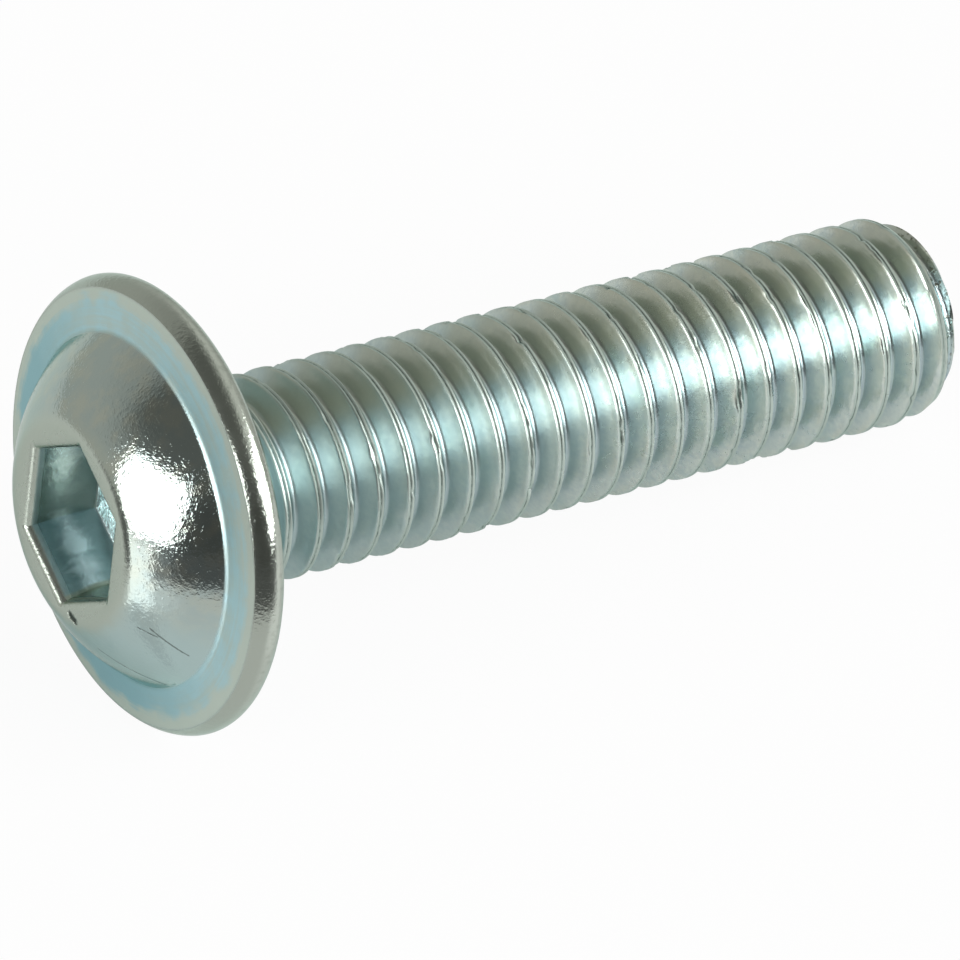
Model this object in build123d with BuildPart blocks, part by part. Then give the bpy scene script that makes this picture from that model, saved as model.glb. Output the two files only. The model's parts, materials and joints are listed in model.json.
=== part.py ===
from build123d import *

import math
import os

# Flanged button head screw, M6 x 25, with a 4 mm hexagon socket, one piece of steel.
# It is drawn upright in its own axes, Z from head to tip with zero at the bearing
# face under the flange, and is then laid down as it rests on a table. Sizes are in
# millimetres, radii are from the screw's axis and angles are in degrees.

# Shank and rolled thread
screw_length = 25.0
thread_pitch = 1.0
crest_radius = 5.92 / 2
root_radius = 4.92 / 2
crest_width = 0.17
flank_angle = 30.0
ridge_sink = 0.08
turns_in_a_length = 5
blank_radius = 5.3 / 2
blank_length = 1.5
underhead_fillet = 0.4
run_out_angle = 30.0
tip_radius = 5.16 / 2
tip_taper_length = 0.9

# Head: flange with a barrelled rim, low dome and hexagon socket
head_height = 3.0
flange_thickness = 1.05
rim_thickness = 0.93
rim_edge_radius = 6.28
rim_bulge = 0.28
dome_base_radius = 5.07
dome_base_fillet = 0.25
dome_sphere_radius = 6.1
dome_top_fillet = 0.8
socket_across_flats = 4.0
socket_depth = 2.25
socket_floor_angle = 75.0
socket_lip = 0.2

# How the thread and the socket are turned, from the side that lies uppermost
crest_height_on_top = 2.135
socket_turn = -2.45


os.makedirs("parts", exist_ok=True)


def cone_height(radius_change, angle_to_axis):
    return radius_change / math.tan(math.radians(angle_to_axis))


# Thread: a ridge with 60 degrees between its flanks winds round a core, with some
# to spare at both ends. It is swept a few turns at a time, since one long helical
# face comes out in far more facets than the same face in short lengths. Then the
# crests are turned away at the tip, on a slight taper, and towards the head, where
# the thread runs out.
ridge_start = crest_height_on_top - 2 * thread_pitch
ridge_lengths = math.ceil((screw_length - ridge_start) / (turns_in_a_length * thread_pitch))
ridge_foot_radius = root_radius - ridge_sink
foot_half_width = crest_width / 2 + (crest_radius - ridge_foot_radius) * math.tan(math.radians(flank_angle))
core_start = ridge_start - thread_pitch
core_end = ridge_start + (ridge_lengths * turns_in_a_length + 1) * thread_pitch
tip_taper = (crest_radius - tip_radius) / tip_taper_length
run_out_end = blank_length + cone_height(crest_radius - blank_radius, run_out_angle)
clear_radius = 2 * crest_radius

with BuildPart() as ridge:
    with BuildLine() as winding:
        Helix(thread_pitch, turns_in_a_length * thread_pitch, crest_radius, center=(0, 0, ridge_start))
    with BuildSketch(Plane.XZ):
        with BuildLine():
            Polyline(
                (ridge_foot_radius, ridge_start - foot_half_width),
                (crest_radius, ridge_start - crest_width / 2),
                (crest_radius, ridge_start + crest_width / 2),
                (ridge_foot_radius, ridge_start + foot_half_width),
                close=True,
            )
        make_face()
    sweep(path=winding.line, is_frenet=True)

with BuildPart() as thread:
    with BuildSketch(Plane.YZ):
        with Locations((0, core_start)):
            Rectangle(root_radius, core_end - core_start, align=(Align.MIN, Align.MIN))
    revolve(axis=Axis.Z)
    with Locations(*[(0, 0, i * turns_in_a_length * thread_pitch) for i in range(ridge_lengths)]):
        add(ridge.part)
    with BuildSketch(Plane.XZ):
        with BuildLine():
            Polyline(
                (0, screw_length),
                (tip_radius, screw_length),
                (tip_radius + 2 * tip_taper_length * tip_taper, screw_length - 2 * tip_taper_length),
                (clear_radius, screw_length - 2 * tip_taper_length),
                (clear_radius, core_end),
                (0, core_end),
                close=True,
            )
        make_face()
    revolve(axis=Axis.Z, mode=Mode.SUBTRACT)
    with BuildSketch(Plane.XZ):
        with BuildLine():
            Polyline(
                (0, core_start),
                (0, 0),
                (blank_radius, blank_length),
                (2 * crest_radius - blank_radius, 2 * run_out_end - blank_length),
                (clear_radius, 2 * run_out_end - blank_length),
                (clear_radius, core_start),
                close=True,
            )
        make_face()
    revolve(axis=Axis.Z, mode=Mode.SUBTRACT)

# Head and blank are turned in one outline. The dome belongs to a sphere centred on
# the axis, and the rim of the flange bulges as cold forming leaves it.
dome_centre = math.sqrt(dome_sphere_radius**2 - dome_base_radius**2) - flange_thickness
dome_top_radius = math.sqrt(dome_sphere_radius**2 - (dome_centre + head_height) ** 2)
blank_end = blank_length + cone_height(blank_radius - root_radius, run_out_angle)
dome_top = (dome_top_radius, -head_height)
dome_base = (dome_base_radius, -flange_thickness)
rim_front = (rim_edge_radius, -rim_thickness)
rim_back = (rim_edge_radius, 0)

with BuildPart() as upright:
    with BuildSketch(Plane.XZ) as outline:
        with BuildLine():
            Line((0, -head_height), dome_top)
            RadiusArc(dome_top, dome_base, -dome_sphere_radius)
            Line(dome_base, rim_front)
            ThreePointArc(rim_front, (rim_edge_radius + rim_bulge, -rim_thickness / 2), rim_back)
            Polyline(
                rim_back,
                (blank_radius, 0),
                (blank_radius, blank_length),
                (root_radius, blank_end),
                (0, blank_end + root_radius),
                (0, -head_height),
            )
        make_face()
        for corner, radius in (
            (dome_top, dome_top_fillet),
            (dome_base, dome_base_fillet),
            ((blank_radius, 0), underhead_fillet),
        ):
            fillet(outline.vertices().sort_by_distance(corner)[0], radius)
    revolve(axis=Axis.Z)
    add(thread.part)
    # Hexagon socket: punched straight down, with a broken edge at its mouth and a
    # blunt cone for its floor
    with BuildSketch(Plane.XY.offset(-head_height)):
        RegularPolygon(socket_across_flats / 2, 6, major_radius=False, rotation=socket_turn)
    extrude(amount=socket_depth, mode=Mode.SUBTRACT)
    for sunk, widened in ((0, socket_lip), (socket_lip, 0)):
        with BuildSketch(Plane.XY.offset(sunk - head_height)):
            RegularPolygon(socket_across_flats / 2 + widened, 6, major_radius=False, rotation=socket_turn)
    loft(mode=Mode.SUBTRACT)
    with BuildSketch(Plane.XZ):
        with BuildLine():
            Polyline(
                (0, socket_depth - head_height),
                (socket_across_flats / 2, socket_depth - head_height),
                (0, socket_depth - head_height + cone_height(socket_across_flats / 2, socket_floor_angle)),
                close=True,
            )
        make_face()
    revolve(axis=Axis.Z, mode=Mode.SUBTRACT)

# At rest the screw touches the table with the bulge of its rim and with the last
# full crest on its underside, so its axis slopes down to the tip.
rim_arc_radius = (rim_thickness**2 / 4 + rim_bulge**2) / (2 * rim_bulge)
rim_arc_centre = rim_edge_radius + rim_bulge - rim_arc_radius
lowest_crest = crest_height_on_top + thread_pitch / 2
lowest_crest += thread_pitch * math.floor((screw_length - tip_taper_length - lowest_crest) / thread_pitch)
reach = lowest_crest + crest_width / 2 + rim_thickness / 2
drop = rim_arc_centre - crest_radius
tilt = math.atan2(drop, reach) + math.asin(rim_arc_radius / math.hypot(drop, reach))
along = Vector(math.cos(tilt), 0, -math.sin(tilt))
uppermost = Vector(math.sin(tilt), 0, math.cos(tilt))

with BuildPart(Plane((0, 0, 0), x_dir=uppermost, z_dir=along)) as lying:
    add(upright.part)

# The origin is under the middle of the screw, on the table
room = lying.part.bounding_box()
table_middle = Vector(-room.center().X, -room.center().Y, -room.min.Z)
with BuildPart(Plane(table_middle)) as screw:
    add(lying.part)

screw.part.label = "screw"
export_step(screw.part, "parts/screw.step")
print(f"at rest the axis slopes down by {math.degrees(tilt):.2f} degrees")
print(f"bearing face centre {table_middle}, axis {along}")
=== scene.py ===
import json
import math

import bmesh
import bpy
from mathutils import Matrix, Vector, noise


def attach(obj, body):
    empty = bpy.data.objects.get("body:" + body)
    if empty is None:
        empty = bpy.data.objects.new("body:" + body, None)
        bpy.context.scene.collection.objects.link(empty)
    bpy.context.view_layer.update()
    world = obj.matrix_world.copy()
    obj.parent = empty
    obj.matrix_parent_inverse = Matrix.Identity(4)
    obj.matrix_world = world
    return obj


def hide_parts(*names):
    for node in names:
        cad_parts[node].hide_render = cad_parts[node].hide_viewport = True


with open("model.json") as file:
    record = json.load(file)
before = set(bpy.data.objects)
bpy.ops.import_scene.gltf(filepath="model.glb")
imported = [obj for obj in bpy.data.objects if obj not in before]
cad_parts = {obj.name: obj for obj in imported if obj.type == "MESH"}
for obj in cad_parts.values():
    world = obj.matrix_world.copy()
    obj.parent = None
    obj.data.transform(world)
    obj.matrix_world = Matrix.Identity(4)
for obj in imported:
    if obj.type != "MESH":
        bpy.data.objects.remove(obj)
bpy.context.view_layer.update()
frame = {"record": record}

# Lengths inside the dictionaries are in millimetres on the screw's own axes: Z runs
# from the bearing face under the flange to the tip, X is the side that lies uppermost
# and Y comes out towards the camera. placeInFrame brings a piece to the frame's metres.
toMetres = 0.001
closeEnough = 0.001  # two lengths that differ by less are the same
smoothAngle = 32  # faces that meet at a smaller angle are shaded as one


def deselectAll():
    if bpy.context.object and bpy.context.object.mode != "OBJECT":
        bpy.ops.object.mode_set(mode="OBJECT")
    bpy.ops.object.select_all(action="DESELECT")


def activate(piece):
    deselectAll()
    piece.select_set(True)
    bpy.context.view_layer.objects.active = piece


def selectEdges(piece, wanted):
    bpy.ops.mesh.select_all(action="DESELECT")
    mesh = bmesh.from_edit_mesh(piece.data)
    for edge in mesh.edges:
        edge.select = wanted(edge)
    bmesh.update_edit_mesh(piece.data)


def edgeAtHeight(edge, height):
    return all(abs(vertex.co.z - height) < closeEnough for vertex in edge.verts)


def edgeReach(edge):
    return max(vertex.co.xy.length for vertex in edge.verts)


def arcPoints(centre, radius, startAngle, endAngle, count, first=0):
    # first is 1 where the arc goes on from a point that is there already
    for step in range(first, count + 1):
        angle = math.radians(startAngle + (endAngle - startAngle) * step / count)
        yield centre[0] + radius * math.cos(angle), centre[1] + radius * math.sin(angle)


def between(start, end, value):
    # 0 at the start and 1 at the end, smooth between
    share = min(max((value - start) / (end - start), 0.0), 1.0)
    return share * share * (3 - 2 * share)


# Head: one loop of edges is pulled out ring by ring, from the socket's floor over the
# dome and the rim to the neck. Each ring has its farthest reach from the axis, its
# height and how far it is rounded from the socket's hexagon to a circle.
head = {
    "height": 3.0,
    "socketAcrossFlats": 4.0,
    "socketDepth": 2.25,
    "socketTurn": -2.45,
    "floorAngle": 75.0,
    "floorRing": 0.55,  # share of the socket's reach at which its floor is closed
    "lipWidth": 0.24,
    "lipDepth": 0.3,
    "lipRounded": 0.6,  # from a hexagon to a circle, halfway to the fillet of the dome
    # the punch has drawn the mouth of the socket wider: by how much along X and Y, and
    # the heights and reaches between which that sets in
    "mouthDrawn": (0.085, 0.0255),
    "mouthDrawnHeights": (-2.1, -2.8),
    "mouthDrawnReaches": (3.0, 2.4),
    "domeSphere": 6.1,
    "domeBase": 5.07,
    "domeTopFillet": 0.8,
    "domeBaseFillet": 0.25,
    "domeSteps": 16,
    "flangeThickness": 1.05,
    "flangeSteps": 7,
    "rimThickness": 0.92,
    "rimEdge": 6.28,
    # radius of each arc, and the angles between which its face looks, head side first
    "rimArcs": ((0.95, -45, -12), (0.40, -12, 50), (0.24, 50, 90)),
    "rimSteps": 8,
    "neckRadius": 2.65,
    "neckFillet": 0.4,
    "neckEnd": 1.0,
    "filletSteps": 5,
    "pointsPerFlat": 32,
}
toCorner = 1 / math.cos(math.radians(30))  # from the flats of a hexagon to its corners


def socketFloorHighlight():
    # heights of the socket's floor at its edge and on the axis
    edge = head["socketDepth"] - head["height"]
    return edge, edge + head["socketAcrossFlats"] / 2 / math.tan(math.radians(head["floorAngle"]))


def roundRings(*arc):
    for reach, height in arcPoints(*arc):
        yield reach, height, 1


def socketRings():
    flat = head["socketAcrossFlats"] / 2
    top = -head["height"]
    floor, floorTip = socketFloorHighlight()
    for share in (head["floorRing"], 1.0):
        yield flat * share * toCorner, floor + (1 - share) * (floorTip - floor), 0
    for height in (0.5 * (floor + top), top + head["lipDepth"]):
        yield flat * toCorner, height, 0
    for inward, down in arcPoints((0, 0), 1, 180, 270, head["filletSteps"], 1):
        reach = (flat + head["lipWidth"] * (1 + inward)) * toCorner
        yield reach, top + head["lipDepth"] * (1 + down), 0


def domeRings():
    top = -head["height"]
    sphere, fillet = head["domeSphere"], head["domeTopFillet"]
    base = (head["domeBase"], -head["flangeThickness"])
    sphereCentre = math.sqrt(sphere**2 - base[0] ** 2) + base[1]
    filletHeight = top + fillet
    filletReach = math.sqrt((sphere - fillet) ** 2 - (filletHeight - sphereCentre) ** 2)
    topAngle = math.degrees(math.atan2(filletHeight - sphereCentre, filletReach))
    lipReach = (head["socketAcrossFlats"] / 2 + head["lipWidth"]) * toCorner
    yield 0.5 * (lipReach + filletReach), top, head["lipRounded"]
    yield from roundRings((filletReach, filletHeight), fillet, -90, topAngle, head["filletSteps"])
    # down the sphere to the fillet at the foot of the dome, then out along the flange
    fillet = head["domeBaseFillet"]
    baseAngle = math.degrees(math.atan2(base[1] - sphereCentre, base[0]))
    flangeRise = head["flangeThickness"] - head["rimThickness"]
    faceAngle = math.degrees(math.atan2(flangeRise, head["rimEdge"] - base[0]))
    cut = fillet * math.tan(math.radians(90 + baseAngle - faceAngle) / 2)
    lastAngle = baseAngle - math.degrees(cut / sphere)
    yield from roundRings((0, sphereCentre), sphere, topAngle, lastAngle, head["domeSteps"], 1)
    outwards = (math.cos(math.radians(faceAngle)), math.sin(math.radians(faceAngle)))
    foot = (base[0] + cut * outwards[0], base[1] + cut * outwards[1])
    centre = (foot[0] + fillet * outwards[1], foot[1] - fillet * outwards[0])
    yield from roundRings(centre, fillet, 180 + baseAngle, 90 + faceAngle, head["filletSteps"], 1)
    for step in range(1, head["flangeSteps"]):
        share = step / head["flangeSteps"]
        reach = foot[0] + share * (head["rimEdge"] - foot[0])
        yield reach, foot[1] + share * (-head["rimThickness"] - foot[1]), 1


def rimRings():
    # the rim swells from its crease and is rounded at the back
    reach, height = head["rimEdge"], -head["rimThickness"]
    yield reach, height, 1
    for bend, startAngle, endAngle in head["rimArcs"]:
        start = math.radians(startAngle)
        centre = (reach - bend * math.cos(start), height - bend * math.sin(start))
        for reach, height in arcPoints(centre, bend, startAngle, endAngle, head["rimSteps"], 1):
            yield reach, height, 1
    fillet = head["neckFillet"]
    neck = head["neckRadius"] + fillet
    for share in (0.3, 0.7, 1.0):
        yield reach + share * (neck - reach), (1 - share) * height, 1
    yield from roundRings((neck, fillet), fillet, -90, -180, head["filletSteps"], 1)
    yield head["neckRadius"], head["neckEnd"], 1


def makeHead():
    deselectAll()
    rings = [*socketRings(), *domeRings(), *rimRings()]
    floorReach, floorHeight, _ = rings[0]
    bpy.ops.mesh.primitive_circle_add(
        vertices=6,
        radius=floorReach,
        fill_type="NOTHING",
        location=(0, 0, floorHeight),
        rotation=(0, 0, math.radians(head["socketTurn"] - 90)),
    )
    piece = bpy.context.object
    piece.name = "screw_body"
    bpy.ops.object.transform_apply(location=True, rotation=True, scale=True)
    bpy.ops.object.mode_set(mode="EDIT")
    bpy.ops.mesh.select_mode(type="EDGE")
    bpy.ops.mesh.select_all(action="SELECT")
    bpy.ops.mesh.subdivide(number_cuts=head["pointsPerFlat"] - 1)
    bpy.ops.mesh.select_all(action="SELECT")
    height = floorHeight
    for reach, nextHeight, roundness in rings[1:]:
        step = (0, 0, nextHeight - height)
        bpy.ops.mesh.extrude_region_move(TRANSFORM_OT_translate={"value": step})
        if roundness:
            bpy.ops.transform.tosphere(value=roundness)
        pulled = [vertex for vertex in bmesh.from_edit_mesh(piece.data).verts if vertex.select]
        wider = reach / max(vertex.co.xy.length for vertex in pulled)
        bpy.ops.transform.resize(value=(wider, wider, 1), center_override=(0, 0, nextHeight))
        height = nextHeight
    # the socket's floor closes on the axis
    selectEdges(piece, lambda edge: edge.is_boundary and edgeReach(edge) < floorReach + closeEnough)
    bpy.ops.mesh.extrude_region_move()
    bpy.ops.transform.translate(value=(0, 0, socketFloorHighlight()[1] - floorHeight))
    bpy.ops.mesh.merge(type="CENTER")
    bpy.ops.object.mode_set(mode="OBJECT")
    for vertex in piece.data.vertices:
        drawn = between(*head["mouthDrawnHeights"], vertex.co.z)
        drawn *= between(*head["mouthDrawnReaches"], vertex.co.xy.length)
        vertex.co.x *= 1 + head["mouthDrawn"][0] * drawn
        vertex.co.y *= 1 + head["mouthDrawn"][1] * drawn
    return piece


# Thread: the outline of one pitch is wound up by a screw modifier.
thread = {
    "length": 25.0,
    "pitch": 1.0,
    "crestRadius": 2.96,
    "rootRadius": 2.385,
    "rootRounding": 0.144,
    "rootSteps": 4,
    "flankAngle": 30.0,
    "flankPoints": (0.2, 0.5, 0.78),  # shares of the way down
    "crestWidth": 0.17,
    # across the crest, from the seam that rolling leaves in its middle to the flank:
    # depth, and share of half the crest's width
    "crestSection": ((0.03, 0.0), (0.012, 0.36), (0.0, 0.76), (0.008, 1.1), (0.035, 1.4)),
    # towards the tip the seam is rolled shut: by what share of its depth, the heights
    # between which that sets in, and the depths past which it fades out
    "seamShut": 0.8,
    "seamShutHeights": (4.0, 14.0),
    "seamShutDepths": (0.032, 0.028),
    "crestHeightOnTop": 2.135,
    "turnsToSpare": 3,
    "woundFrom": 1.2,
    "runOutHeights": (1.45, 2.7),
    "tipRadius": 2.58,
    "tipTaper": 0.9,
    "tipRounding": 0.16,
    # small nicks that handling has left in the crests, where a noise is above a level
    "nickScale": 3.1,
    "nickLevel": 0.3,
    "nickDepth": 0.16,
    "nickBand": 0.12,
    "stepsPerTurn": 112,
    "mergeWithin": 0.002,
}


def pitchOutline():
    crest, root, rounding = thread["crestRadius"], thread["rootRadius"], thread["rootRounding"]
    slope = math.tan(math.radians(thread["flankAngle"]))
    edge = thread["crestWidth"] / 2
    half = [(crest - depth, share * edge) for depth, share in thread["crestSection"]]
    flankEnd = root + rounding - rounding * math.sin(math.radians(thread["flankAngle"]))
    for share in thread["flankPoints"]:
        radius = crest + share * (flankEnd - crest)
        half.append((radius, edge + (crest - radius) * slope))
    centre = (root + rounding, thread["pitch"] / 2)
    half += arcPoints(centre, rounding, 270 - thread["flankAngle"], 180, thread["rootSteps"])
    return [(radius, -aside) for radius, aside in reversed(half[1:])] + half


def tipLimit(height):
    fromTip = max(thread["length"] - height, 0.0)
    slope = (thread["crestRadius"] - thread["tipRadius"]) / thread["tipTaper"]
    limit = thread["tipRadius"] + fromTip * slope
    rounding = thread["tipRounding"]
    if fromTip < rounding:
        limit -= rounding - math.sqrt(rounding**2 - (rounding - fromTip) ** 2)
    return limit


def makeThread():
    # wound with some to spare at both ends, and cut off there
    deselectAll()
    firstCrest = thread["crestHeightOnTop"] - thread["turnsToSpare"] * thread["pitch"]
    points = [Vector((radius, 0, firstCrest + aside)) for radius, aside in pitchOutline()]
    bpy.ops.mesh.primitive_plane_add(size=0.1)
    piece = bpy.context.object
    bpy.ops.object.mode_set(mode="EDIT")
    bpy.ops.mesh.select_mode(type="VERT")
    bpy.ops.mesh.select_all(action="SELECT")
    bpy.ops.mesh.merge(type="CENTER")
    bpy.ops.transform.translate(value=points[0])
    for here, there in zip(points, points[1:]):
        bpy.ops.mesh.extrude_region_move(TRANSFORM_OT_translate={"value": there - here})
    bpy.ops.object.mode_set(mode="OBJECT")
    winding = piece.modifiers.new("winding", "SCREW")
    winding.axis = "Z"
    winding.angle = math.tau
    winding.screw_offset = thread["pitch"]
    winding.iterations = math.ceil((thread["length"] - firstCrest) / thread["pitch"]) + 1
    winding.steps = winding.render_steps = thread["stepsPerTurn"]
    bpy.ops.object.modifier_apply(modifier=winding.name)
    bpy.ops.object.mode_set(mode="EDIT")
    bpy.ops.mesh.select_all(action="SELECT")
    bpy.ops.mesh.remove_doubles(threshold=thread["mergeWithin"])
    bpy.ops.mesh.bisect(plane_co=(0, 0, thread["woundFrom"]), plane_no=(0, 0, 1), clear_inner=True)
    bpy.ops.mesh.select_all(action="SELECT")
    bpy.ops.mesh.bisect(plane_co=(0, 0, thread["length"]), plane_no=(0, 0, 1), clear_outer=True)
    bpy.ops.mesh.select_all(action="DESELECT")
    bpy.ops.object.mode_set(mode="OBJECT")
    for vertex in piece.data.vertices:
        vertex.co.xy *= formedRadius(vertex.co) / vertex.co.xy.length
    return piece


def formedRadius(place):
    # near the head the thread runs out into the neck, and at the tip its crests taper
    crest, neck = thread["crestRadius"], head["neckRadius"]
    radius = place.xy.length
    nick = max(noise.noise(place * thread["nickScale"]) - thread["nickLevel"], 0)
    radius -= nick * thread["nickDepth"] * between(crest - thread["nickBand"], crest, radius)
    shadedLowFar, shallow = thread["seamShutDepths"]
    shut = thread["seamShut"] * between(*thread["seamShutHeights"], place.z)
    radius += shut * between(crest - shadedLowFar, crest - shallow, radius) * (crest - radius)
    radius = neck + (radius - neck) * between(*thread["runOutHeights"], place.z)
    return min(radius, tipLimit(place.z))


def joinThread(body, winding):
    deselectAll()
    winding.select_set(True)
    body.select_set(True)
    bpy.context.view_layer.objects.active = body
    bpy.ops.object.join()
    bpy.ops.object.mode_set(mode="EDIT")
    bpy.ops.mesh.select_mode(type="EDGE")
    # the flat end is filled, and the neck is bridged to the start of the thread
    selectEdges(body, lambda edge: edge.is_boundary and edgeAtHeight(edge, thread["length"]))
    bpy.ops.mesh.edge_face_add()
    selectEdges(body, lambda edge: edge.is_boundary)
    bpy.ops.mesh.bridge_edge_loops()
    bpy.ops.mesh.select_all(action="SELECT")
    bpy.ops.mesh.normals_make_consistent(inside=False)
    # the rim starts at a crease
    crease = head["rimEdge"] - closeEnough
    selectEdges(
        body, lambda edge: edgeAtHeight(edge, -head["rimThickness"]) and edgeReach(edge) > crease
    )
    bpy.ops.mesh.mark_sharp()
    bpy.ops.object.mode_set(mode="OBJECT")


def screwAxes(along):
    # its columns are the screw's own X, Y and Z
    uppermost = Vector((-along.z, 0, along.x))
    return Matrix((uppermost, along.cross(uppermost), along)).transposed()


def placeInFrame(piece):
    mounts = {mount["name"]: mount for mount in frame["record"]["mounts"]}
    along = Vector(mounts["drive_socket"]["axis"]).normalized() * -1
    origin = Vector(mounts["drive_socket"]["pos_m"]) + along * head["height"] * toMetres
    turned = screwAxes(along).to_4x4()
    piece.matrix_world = Matrix.Translation(origin) @ turned @ Matrix.Scale(toMetres, 4)
    activate(piece)
    bpy.ops.object.transform_apply(location=True, rotation=True, scale=True)
    return origin, along


body = makeHead()
print("head made")
winding = makeThread()
print("thread made")
joinThread(body, winding)
activate(body)
bpy.ops.object.shade_smooth_by_angle(angle=math.radians(smoothAngle), keep_sharp_edges=True)
bearingCentre, alongScrew = placeInFrame(body)
print("screw has", len(body.data.polygons), "faces")
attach(body, "root")
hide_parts("screw")


# Camera: it stands back from the middle of the rim's front edge, a little to the right
# of it and above. Only its clip distances are in metres.
camera = {
    "azimuth": -32.25,
    "elevation": 38.4,
    "lens": 640.44,
    "distance": 471.8,
    "rightOfHead": 9.594,
    "aboveHead": 0.798,
    "clip": (0.01, 20),
}


def direction(azimuth, elevation):
    # azimuth 0 is towards the front, and it grows to the right
    azimuth, elevation = math.radians(azimuth), math.radians(elevation)
    level = math.cos(elevation)
    return Vector((math.sin(azimuth) * level, -math.cos(azimuth) * level, math.sin(elevation)))


def makeCamera(bearingCentre, along):
    back = direction(camera["azimuth"], camera["elevation"])
    right = direction(camera["azimuth"] + 90, 0)
    upward = back.cross(right)
    offset = right * camera["rightOfHead"] + upward * camera["aboveHead"]
    offset += back * camera["distance"] - along * head["rimThickness"]
    bpy.ops.object.camera_add()
    view = bpy.context.object
    view.data.lens = camera["lens"]
    view.location = bearingCentre + offset * toMetres
    view.rotation_euler = back.to_track_quat("Z", "Y").to_euler()
    view.data.clip_start, view.data.clip_end = camera["clip"]
    bpy.context.scene.camera = view


makeCamera(bearingCentre, alongScrew)
print("camera placed")


class Wire:
    # wraps a socket of a node tree, and sums on it add Math nodes
    def __init__(self, tree, socket=None):
        self.tree = tree
        self.socket = socket

    def node(self, kind, settings=None, inputs=None, output=0):
        made = self.tree.nodes.new(kind)
        for name, value in (settings or {}).items():
            setattr(made, name, value)
        for name, value in (inputs or {}).items():
            if isinstance(value, Wire):
                self.tree.links.new(value.socket, made.inputs[name])
            else:
                made.inputs[name].default_value = value
        return Wire(self.tree, made.outputs[output])

    def other(self, output):
        return Wire(self.tree, self.socket.node.outputs[output])

    def maths(self, operation, *values):
        return self.node("ShaderNodeMath", {"operation": operation}, dict(enumerate(values)))

    def vector(self, operation, *values, output=0):
        settings = {"operation": operation}
        return self.node("ShaderNodeVectorMath", settings, dict(enumerate(values)), output)

    def __add__(self, more):
        return self.maths("ADD", self, more)

    def __sub__(self, less):
        return self.maths("SUBTRACT", self, less)

    def __rsub__(self, whole):
        return self.maths("SUBTRACT", whole, self)

    def __mul__(self, times):
        return self.maths("MULTIPLY", self, times)

    def __truediv__(self, parts):
        return self.maths("DIVIDE", self, parts)

    def __pow__(self, power):
        return self.maths("POWER", self, power)

    def __abs__(self):
        return self.maths("ABSOLUTE", self)

    __radd__ = __add__
    __rmul__ = __mul__

    def rise(self, start, end):
        # 0 up to start and 1 from end on, smooth between
        edges = {"Value": self, "From Min": start, "From Max": end}
        return self.node("ShaderNodeMapRange", {"interpolation_type": "SMOOTHSTEP"}, edges)

    def noise(self, scale, detail, rough):
        grain = {"Vector": self, "Scale": scale, "Detail": detail, "Roughness": rough}
        return self.node("ShaderNodeTexNoise", None, grain, "Fac")

    def fromLine(self, start, end):
        # distance of a point from a short straight line, seen along Z
        start, end = Vector((*start, 0)), Vector((*end, 0))
        line = end - start
        offset = self.vector("SUBTRACT", self, start)
        share = self.vector("DOT_PRODUCT", offset, line, output="Value") / line.length_squared
        share = self.maths("MINIMUM", self.maths("MAXIMUM", share, 0.0), 1.0)
        along = self.node("ShaderNodeVectorMath", {"operation": "SCALE"}, {0: line, "Scale": share})
        return self.vector("LENGTH", self.vector("SUBTRACT", offset, along), output="Value")

    def mixed(self, first, second):
        # the first colour where this is 0 and the second where it is 1
        first, second = (c if isinstance(c, Wire) else (*c, 1) for c in (first, second))
        colours = {"Factor": self, 6: first, 7: second}
        return self.node("ShaderNodeMix", {"data_type": "RGBA"}, colours, 2)


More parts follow.
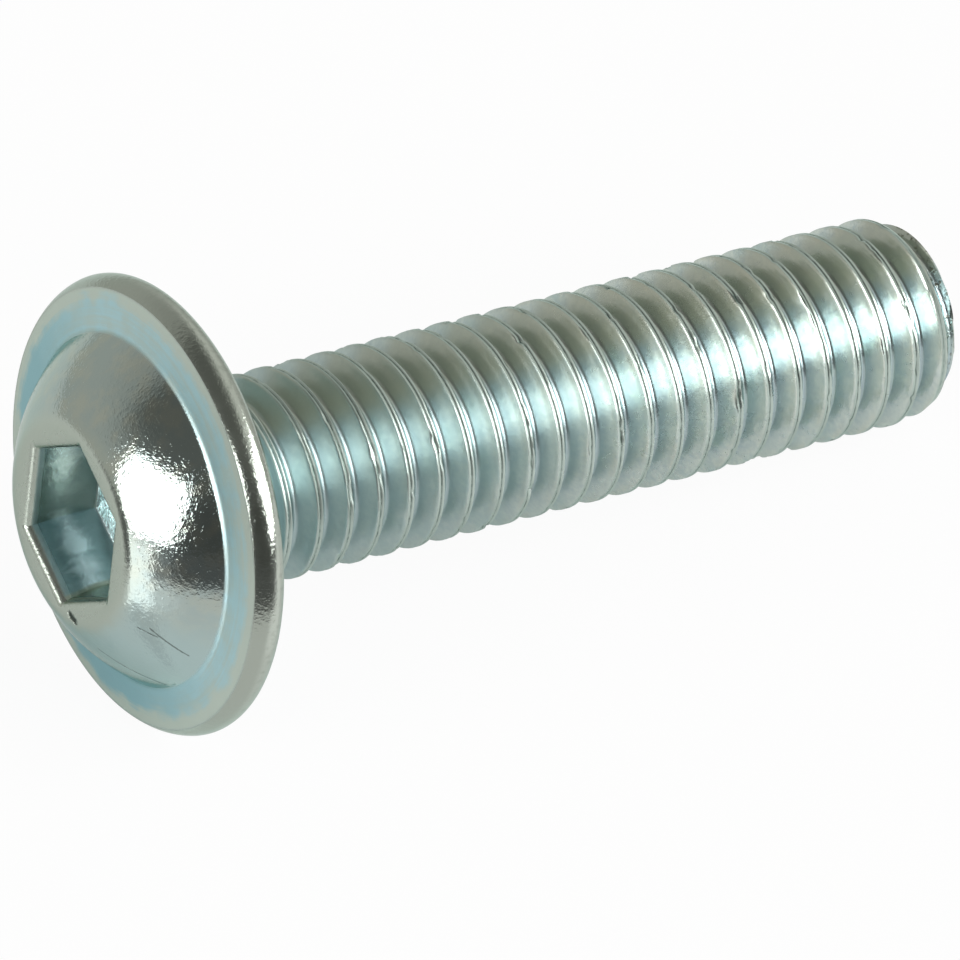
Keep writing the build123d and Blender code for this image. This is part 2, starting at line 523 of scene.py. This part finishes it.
# Zinc plate with a blue passivation: colours are its reflectance face on
zinc = {
    "edgeTint": (0.80, 0.90, 0.86),
    "dome": (0.41, 0.48, 0.46),
    "domeWarm": (0.50, 0.52, 0.44),
    # the next two paint the floor's reflection and its shade onto the dome's lower side
    "domeFloorSheen": (0.45, 0.57, 0.565),
    "domeFloorShade": (0.30, 0.43, 0.44),
    "lip": (0.46, 0.51, 0.45),
    "flange": (0.43, 0.63, 0.67),
    # painted shade on the flange's lower side away from the camera
    "flangeFloorShade": (0.30, 0.50, 0.545),
    "flangeGreen": (0.46, 0.58, 0.56),
    "flangeEdge": (0.53, 0.60, 0.54),
    "rim": (0.49, 0.53, 0.48),
    "rimMottleAndShade": (0.42, 0.46, 0.41),
    "socket": (0.42, 0.56, 0.57),
    "socketHighlight": (0.80, 0.93, 0.95),
    "socketWarm": (0.52, 0.55, 0.45),
    "socketFloorHighlight": (0.86, 0.92, 0.93),
    # the thread's roots are darker than its flanks: painted shade in the grooves
    "root": (0.40, 0.49, 0.51),
    "flank": (0.64, 0.70, 0.65),
    "shade": (0.37, 0.465, 0.465),
    "crest": (0.46, 0.54, 0.50),
    "seamShade": (0.20, 0.25, 0.23),
    # painted reflection of the room above, on the thread's top side
    "top": (0.46, 0.47, 0.37),
    "tan": (0.60, 0.60, 0.51),
    "mint": (0.48, 0.60, 0.54),
    "slate": (0.40, 0.50, 0.54),
    "mark": (0.05, 0.06, 0.05),
    "worn": (0.17, 0.17, 0.12),
    # scale, detail and roughness of each noise
    "noises": {
        "cloud": (0.55, 2.0, 0.5),
        "patch": (1.7, 3.0, 0.5),
        "mottle": (4.5, 2.0, 0.6),
        "grain": (8.0, 2.0, 0.6),
        "speck": (16.0, 1.0, 0.5),
        "streak": (2.4, 2.0, 0.5),
        "rings": (1.0, 3.0, 0.5),
        "drawn": (2.4, 2.0, 0.5),
    },
    # how fast the coordinates of the last three run
    "streakOfPhase": 1.6,
    "streakOfHeight": 0.4,
    "ringsPerReach": 9,
    "drawnOut": (1.0, 1.0, 0.2),
    # where each part of the screw starts or ends, as the two sides of a soft edge
    "shankHeight": (0.0, 0.06),
    "threadHeight": (1.4, 2.6),
    "wornHeight": (24.3, 24.7),
    "endHeight": (24.93, 24.97),
    "rimReach": (6.2, 6.32),
    "rimFrontHeight": (-0.62, -0.42),
    "backHeight": (-0.2, -0.05),
    "flangeReach": (4.98, 5.08),
    "flangeHeight": (-1.16, -1.1),
    "faceHeight": (-1.2, -1.1),
    "lipReach": (2.6, 3.2),
    "lipHeight": (-2.7, -2.6),
    "socketReach": (2.45, 2.55),
    "mouthHeight": (-2.85, -2.75),
    "floorHeight": (-0.85, -0.75),
    "floorEnd": (-0.2, -0.1),
    # roughness of the dome, how much rougher the rest is, and how much less the shank
    # is so towards its tip
    "roughness": 0.11,
    "rougher": {"shank": 0.26, "socket": 0.12, "flange": 0.32, "rim": 0.06, "lip": 0.16},
    "smootherHeights": (3.0, 22.0),
    "smootherTip": 0.13,
    "unevenRoughness": 0.10,
    # small marks of handling on the head: both ends, half the width, depth, darkness
    "marks": (
        ((-2.61, 0.62), (-2.66, 0.90), 0.14, 0.04, 1.0),
        ((-1.30, 3.61), (-2.00, 4.30), 0.036, 0.009, 0.6),
        ((-1.42, 3.30), (-1.55, 3.75), 0.032, 0.007, 0.6),
        ((-3.26, 1.56), (-3.55, 2.26), 0.042, 0.012, 0.6),
        ((-3.55, 2.26), (-3.82, 3.11), 0.042, 0.014, 0.6),
    ),
}


def screwPlace(wire, centre, along):
    # coordinates on the screw's own axes, in millimetres, and what follows from them
    own = {
        "Vector": wire.node("ShaderNodeTexCoord", None, None, "Object"),
        "Location": centre,
        "Rotation": screwAxes(along).to_euler(),
        "Scale": (toMetres, toMetres, toMetres),
    }
    point = wire.node("ShaderNodeMapping", {"vector_type": "TEXTURE"}, own)
    x = wire.node("ShaderNodeSeparateXYZ", None, {0: point})
    y, z = x.other("Y"), x.other("Z")
    radius = (x * x + y * y) ** 0.5
    turn = wire.maths("ARCTAN2", y, x) / math.tau
    phase = wire.maths("FRACT", (z - thread["crestHeightOnTop"]) / thread["pitch"] - turn)
    return {
        "point": point,
        "x": x,
        "y": y,
        "z": z,
        "radius": radius,
        "phase": phase,
        "fromCrest": 0.5 - abs(phase - 0.5),  # in pitches
    }


def screwNoises(wire, place):
    # streaks follow the thread, rings run round the axis, and drawn noise is long in the
    # direction of the screw
    around = {"X": place["x"] / place["radius"], "Y": place["y"] / place["radius"]}
    wound = place["phase"] * zinc["streakOfPhase"] + place["z"] * zinc["streakOfHeight"]
    turned = place["radius"] * zinc["ringsPerReach"]
    own = {
        "streak": wire.node("ShaderNodeCombineXYZ", None, {**around, "Z": wound}),
        "rings": wire.node("ShaderNodeCombineXYZ", None, {**around, "Z": turned}),
        "drawn": wire.vector("MULTIPLY", place["point"], zinc["drawnOut"]),
    }
    return {
        name: own.get(name, place["point"]).noise(*grain) for name, grain in zinc["noises"].items()
    }


def screwParts(place):
    z, radius = place["z"], place["radius"]
    shank = z.rise(*zinc["shankHeight"])
    rim = radius.rise(*zinc["rimReach"]) * (1 - shank)
    back = z.rise(*zinc["backHeight"]) * (1 - shank) * (1 - rim)
    flange = radius.rise(*zinc["flangeReach"]) * z.rise(*zinc["flangeHeight"])
    socket = (1 - radius.rise(*zinc["socketReach"])) * z.rise(*zinc["mouthHeight"])
    return {
        "shank": shank,
        "head": 1 - shank,
        "thread": z.rise(*zinc["threadHeight"]),
        "end": z.rise(*zinc["endHeight"]),
        "rim": rim,
        "back": back,
        "flange": flange * (1 - shank - rim - back) + back,
        "socket": socket * (1 - z.rise(*zinc["floorEnd"])),
        "lip": (1 - radius.rise(*zinc["lipReach"])) * (1 - z.rise(*zinc["lipHeight"])),
        "face": 1 - z.rise(*zinc["faceHeight"]),
    }


def domeColour(place, noises):
    patch = noises["patch"]
    colour = (patch.rise(0.4, 0.7) * 0.6).mixed(zinc["dome"], zinc["domeWarm"])
    # the lower side is painted bluer and paler, a painted reflection of the floor, and darker away
    # from the camera, painted shade
    paintedUnderside = (place["y"] + (patch - 0.5) * 2).rise(0.2, 2.8).mixed(zinc["domeFloorShade"], zinc["domeFloorSheen"])
    low = 1 - (place["x"] + (noises["cloud"] - 0.5) * 2).rise(-2.2, 0.6)
    colour = low.mixed(colour, paintedUnderside)
    nearLip = 1 - (place["radius"] + (patch - 0.5) * 0.5).rise(2.8, 3.4)
    return nearLip.mixed(colour, zinc["lip"])


def flangeColour(place, noises, parts):
    cloud, patch, rings = noises["cloud"], noises["patch"], noises["rings"]
    green = (rings * 0.5 + patch * 0.5).rise(0.36, 0.66)
    colour = green.mixed(zinc["flange"], zinc["flangeGreen"])
    # painted shade: darker and bluer on the lower side away from the camera
    shadedLowFar = 1 - (place["x"] + place["y"] + (cloud - 0.5) * 4).rise(-4.5, 2.5)
    colour = shadedLowFar.mixed(colour, zinc["flangeFloorShade"])
    # a pale border of uneven width beside the rim
    uneven = (cloud - 0.5) * 0.8 + (patch - 0.5) * 0.5 + (rings - 0.5) * 0.4
    border = (1 - parts["back"]) * (place["radius"] + uneven).rise(5.7, 6.1)
    return border.mixed(colour, zinc["flangeEdge"])


def rimColour(place, noises):
    # the front of the rim is painted darker, painted shade, and further back the darker colour lies
    # in random patches
    pale = (noises["rings"] * 0.4 + noises["mottle"] * 0.6).rise(0.36, 0.56)
    return (pale * place["z"].rise(*zinc["rimFrontHeight"])).mixed(zinc["rimMottleAndShade"], zinc["rim"])


def shankColour(place, noises, parts):
    cloud, mottle = noises["cloud"], noises["mottle"]
    fromCrest = place["fromCrest"]
    # the roots are painted darker than the flanks, painted shade in the grooves
    flank = 1 - (fromCrest + (mottle - 0.5) * 0.2).rise(0.08, 0.46)
    colour = flank.mixed(zinc["root"], zinc["flank"])
    colour = (cloud.rise(0.5, 0.68) * 0.6).mixed(colour, zinc["mint"])
    slate = (mottle * 0.4 + cloud * 0.6).rise(0.46, 0.66) * 0.4
    colour = slate.mixed(colour, zinc["slate"])
    tan = (1 - fromCrest.rise(0.10, 0.24)) * noises["streak"].rise(0.45, 0.7) * 0.5
    colour = tan.mixed(colour, zinc["tan"])
    colour = (noises["grain"].rise(0.42, 0.62) * 0.22).mixed(colour, zinc["root"])
    # painted shade towards the head and over the neck, and a warmer tone on top as a painted
    # reflection of the room above
    shadedTowardsHead = (1 - (place["z"] + (cloud - 0.5) * 4).rise(3.0, 18.0)) * 0.6
    colour = (shadedTowardsHead + (1 - parts["thread"]) * 0.4).mixed(colour, zinc["shade"])
    onTop = (place["x"] / place["radius"]).rise(0.84, 0.97)
    colour = (onTop * 0.55).mixed(colour, zinc["top"])
    # painted shade along the seam groove in the middle of each crest, uneven by a noise
    seamShade = (1 - fromCrest.rise(0.008, 0.028)) * (0.3 + mottle.rise(0.4, 0.6) * 0.7)
    crest = (1 - fromCrest.rise(0.08, 0.11)) * parts["thread"]
    return crest.mixed(colour, seamShade.mixed(zinc["crest"], zinc["seamShade"]))


def socketColour(place, noises):
    x, y, z = place["x"], place["y"], place["z"]
    # a painted highlight runs round the walls as a pale band, weaker near the corner that the camera
    # sees
    pale = 1 - (abs(z + 1.9) + (noises["drawn"] - 0.5) * 1.2).rise(0.05, 0.65)
    pale = pale * (1 - x.rise(-1.1, -0.9) * (1 - x.rise(-0.3, 0.5)) * 0.8)
    colour = pale.mixed(zinc["socket"], zinc["socketHighlight"])
    lowest = y.rise(-0.05, 0.05) * (1 - x.rise(-1.2, -1.1))
    colour = lowest.mixed(colour, zinc["socketWarm"])
    # the socket's floor is painted near white, a painted highlight
    return z.rise(*zinc["floorHeight"]).mixed(colour, zinc["socketFloorHighlight"])


def zincRoughness(place, noises, parts):
    smoother = parts["shank"] * place["z"].rise(*zinc["smootherHeights"])
    roughness = zinc["roughness"] - smoother * zinc["smootherTip"]
    for part, more in zinc["rougher"].items():
        roughness = roughness + parts[part] * more
    uneven = noises["patch"] - 0.5 + (noises["mottle"] - 0.5) * (0.3 + parts["shank"])
    return roughness + uneven * zinc["unevenRoughness"]


def zincHeight(noises, parts):
    # grain, waves and turned rings of the surface, in millimetres
    onHead, onShank, onFlange, onRim = (parts[part] for part in ("head", "shank", "flange", "rim"))
    fine = noises["grain"] + noises["grain"].rise(0.5, 0.75) * 0.4
    coarse = onHead * 0.003 + onRim * 0.003 + parts["socket"] * 0.004
    height = noises["speck"] * (onHead * 0.0011)
    height = height + fine * (onHead * 0.0044 - onFlange * 0.0024 + onShank * 0.0014)
    height = height + noises["mottle"] * coarse
    height = height + noises["patch"] * (onShank * 0.010)
    height = height + noises["rings"] * ((onFlange + onRim) * 0.003)
    return height + noises["streak"] * (onShank * 0.010 - parts["end"] * 0.010)


def makeZinc(centre, along):
    metal = bpy.data.materials.new("bluePassivatedZinc")
    metal.use_nodes = True
    wire = Wire(metal.node_tree)
    shader = metal.node_tree.nodes["Principled BSDF"]
    shader.inputs["Metallic"].default_value = 1
    shader.inputs["Specular Tint"].default_value = (*zinc["edgeTint"], 1)
    place = screwPlace(wire, centre, along)
    noises = screwNoises(wire, place)
    parts = screwParts(place)
    mottle, grain = noises["mottle"], noises["grain"]

    colour = parts["shank"].mixed(domeColour(place, noises), shankColour(place, noises, parts))
    colour = parts["socket"].mixed(colour, socketColour(place, noises))
    colour = parts["flange"].mixed(colour, flangeColour(place, noises, parts))
    colour = parts["rim"].mixed(colour, rimColour(place, noises))
    endColour = (noises["rings"] * 0.4 + noises["cloud"] * 0.6).rise(0.4, 0.6)
    colour = parts["end"].mixed(colour, endColour.mixed(zinc["slate"], zinc["flank"]))
    # the edge at the tip is worn in spots
    worn = place["z"].rise(*zinc["wornHeight"]) * (1 - parts["end"])
    worn = worn * (mottle * 0.5 + grain * 0.5).rise(0.52, 0.62)
    colour = (worn * 0.8).mixed(colour, zinc["worn"])
    sunk = 0
    seen = wire.vector("MULTIPLY", place["point"], (1, 1, 0))
    for start, end, width, depth, darkness in zinc["marks"]:
        fromMark = seen.fromLine(start, end) + (grain - 0.5) * width
        mark = parts["face"] * (1 - fromMark.rise(0.3 * width, width))
        sunk = mark * depth + sunk
        colour = (mark * darkness).mixed(colour, zinc["mark"])
    height = zincHeight(noises, parts) - sunk + worn * 0.01
    relief = {"Strength": 1.0, "Distance": toMetres, "Height": height}
    surface = {
        "Base Color": colour,
        "Roughness": zincRoughness(place, noises, parts),
        "Normal": wire.node("ShaderNodeBump", None, relief),
    }
    for name, value in surface.items():
        metal.node_tree.links.new(value.socket, shader.inputs[name])
    return metal


body.data.materials.append(makeZinc(bearingCentre, alongScrew))
print("zinc laid on")


# Studio: a white floor, a dim room that is paler at the back, and two soft boxes.
# Lengths are in metres.
studio = {
    "floorSize": 3.0,
    "floorColour": (0.75, 0.75, 0.75),
    "floorShown": 0.94,  # share of the floor that shows plain white to the camera
    "floorInMetal": 0.25,  # and to the metal
    "floorGloss": 0.04,
    "glossRoughness": 0.12,
    # in the metal the white sheet ends a little way in front, the table beyond it is
    # dim, and a strip of it mirrors the left box
    "glossyStrip": 0.2,
    "stripFrom": (-0.0136, -0.0034, 0),
    "stripAzimuth": -82,
    "stripEdge": (0.970, 0.994),
    "paperEnd": (0.0152, 0.0247),
    "tableAzimuth": -50,
    "tableEdge": (0.1, 0.5),
    "table": 0.13,
    # light of the room, and where it changes: low down from front to back, and high up
    # to the right and to the far back
    "front": 0.09,
    "back": 0.56,
    "backEdge": (-0.55, -0.12),
    "above": 0.16,
    "aboveRight": 0.75,
    "rightAzimuth": 75,
    "rightEdge": (-0.1, 0.4),
    "aboveBack": 0.44,
    "farBackAzimuth": 180,
    "farBackEdge": (0.3, 0.6),
    "aboveEdge": (0.35, 0.78),
    "blueShare": 0.94,
    "boxDistance": 1.2,
    "boxes": (
        {"name": "left_box", "azimuth": -80, "elevation": 19, "wide": 38, "high": 33, "bright": 5.5},
        {"name": "right_box", "azimuth": 27, "elevation": 29, "wide": 48, "high": 42, "bright": 5.0},
    ),
}


def facing(heading, azimuth, edge):
    # 1 where a heading looks this way and 0 where it looks away, over a soft edge
    along = heading.vector("DOT_PRODUCT", heading, direction(azimuth, 0), output="Value")
    return along.rise(*edge)


def makeBox(box):
    distance = studio["boxDistance"]
    towards = direction(box["azimuth"], box["elevation"])
    bpy.ops.object.light_add(type="AREA", location=towards * distance)
    lamp = bpy.context.object
    lamp.name = box["name"]
    lamp.rotation_euler = towards.to_track_quat("Z", "Y").to_euler()
    lamp.data.shape = "RECTANGLE"
    lamp.data.size = 2 * distance * math.tan(math.radians(box["wide"] / 2))
    lamp.data.size_y = 2 * distance * math.tan(math.radians(box["high"] / 2))
    lamp.data.energy = box["bright"] * math.pi * lamp.data.size * lamp.data.size_y
    lamp.visible_camera = False


def makeFloor():
    bpy.ops.mesh.primitive_plane_add(size=studio["floorSize"], location=(0, 0, 0))
    floor = bpy.context.object
    floor.name = "floor"
    paper = bpy.data.materials.new("whitePaper")
    paper.use_nodes = True
    floor.data.materials.append(paper)
    paper.node_tree.nodes.clear()
    wire = Wire(paper.node_tree)
    seen = wire.node("ShaderNodeLightPath", None, None, "Is Camera Ray")
    inMetal = seen.other("Is Glossy Ray")
    shown = (seen + seen.other("Is Transmission Ray")) * studio["floorShown"]
    shown = shown + inMetal * studio["floorInMetal"]
    white = (1, 1, 1, 1)
    matt = wire.node("ShaderNodeBsdfDiffuse", None, {"Color": (*studio["floorColour"], 1)})
    glow = wire.node("ShaderNodeEmission", None, {"Color": white, "Strength": 1.0})
    look = wire.node("ShaderNodeMixShader", None, {0: shown, 1: matt, 2: glow})

    place = wire.node("ShaderNodeTexCoord", None, None, "Object")
    offset = wire.vector("SUBTRACT", place, studio["stripFrom"])
    heading = wire.vector("NORMALIZE", offset)
    strip = facing(heading, studio["stripAzimuth"], studio["stripEdge"])
    front = facing(heading, studio["tableAzimuth"], studio["tableEdge"])
    beyond = wire.vector("LENGTH", offset, output="Value").rise(*studio["paperEnd"])
    beyond = beyond * front * (1 - strip)
    dim = wire.node("ShaderNodeEmission", None, {"Color": white, "Strength": studio["table"]})
    look = wire.node("ShaderNodeMixShader", None, {0: beyond * inMetal, 1: look, 2: dim})
    polish = {"Color": white, "Roughness": studio["glossRoughness"]}
    gloss = wire.node("ShaderNodeBsdfGlossy", None, polish)
    shine = (strip * studio["glossyStrip"] + studio["floorGloss"]) * inMetal
    look = wire.node("ShaderNodeMixShader", None, {0: shine, 1: look, 2: gloss})
    end = paper.node_tree.nodes.new("ShaderNodeOutputMaterial")
    paper.node_tree.links.new(look.socket, end.inputs["Surface"])


def makeRoom():
    room = bpy.data.worlds.new("room")
    bpy.context.scene.world = room
    room.use_nodes = True
    wire = Wire(room.node_tree)
    heading = wire.node("ShaderNodeTexCoord", None, None, "Generated")
    behind = facing(heading, camera["azimuth"] + 180, studio["backEdge"])
    low = behind * (studio["back"] - studio["front"]) + studio["front"]
    above = studio["above"]
    rightward = facing(heading, studio["rightAzimuth"], studio["rightEdge"])
    farBack = facing(heading, studio["farBackAzimuth"], studio["farBackEdge"])
    toRight = rightward * (studio["aboveRight"] - above)
    toBack = farBack * (studio["aboveBack"] - above)
    high = wire.maths("MAXIMUM", toRight, toBack) + above
    up = wire.node("ShaderNodeSeparateXYZ", None, {0: heading}, "Z").rise(*studio["aboveEdge"])
    level = low * (1 - up) + high * up
    grey = {0: level, 1: level, 2: level * studio["blueShare"]}
    look = wire.node("ShaderNodeCombineColor", None, grey)
    seen = wire.node("ShaderNodeLightPath", None, None, "Is Camera Ray")
    background = room.node_tree.nodes["Background"]
    room.node_tree.links.new(seen.mixed(look, (1, 1, 1)).socket, background.inputs["Color"])


for box in studio["boxes"]:
    makeBox(box)
makeFloor()
makeRoom()
print("studio lit")

bpy.context.scene.view_settings.view_transform = "Standard"
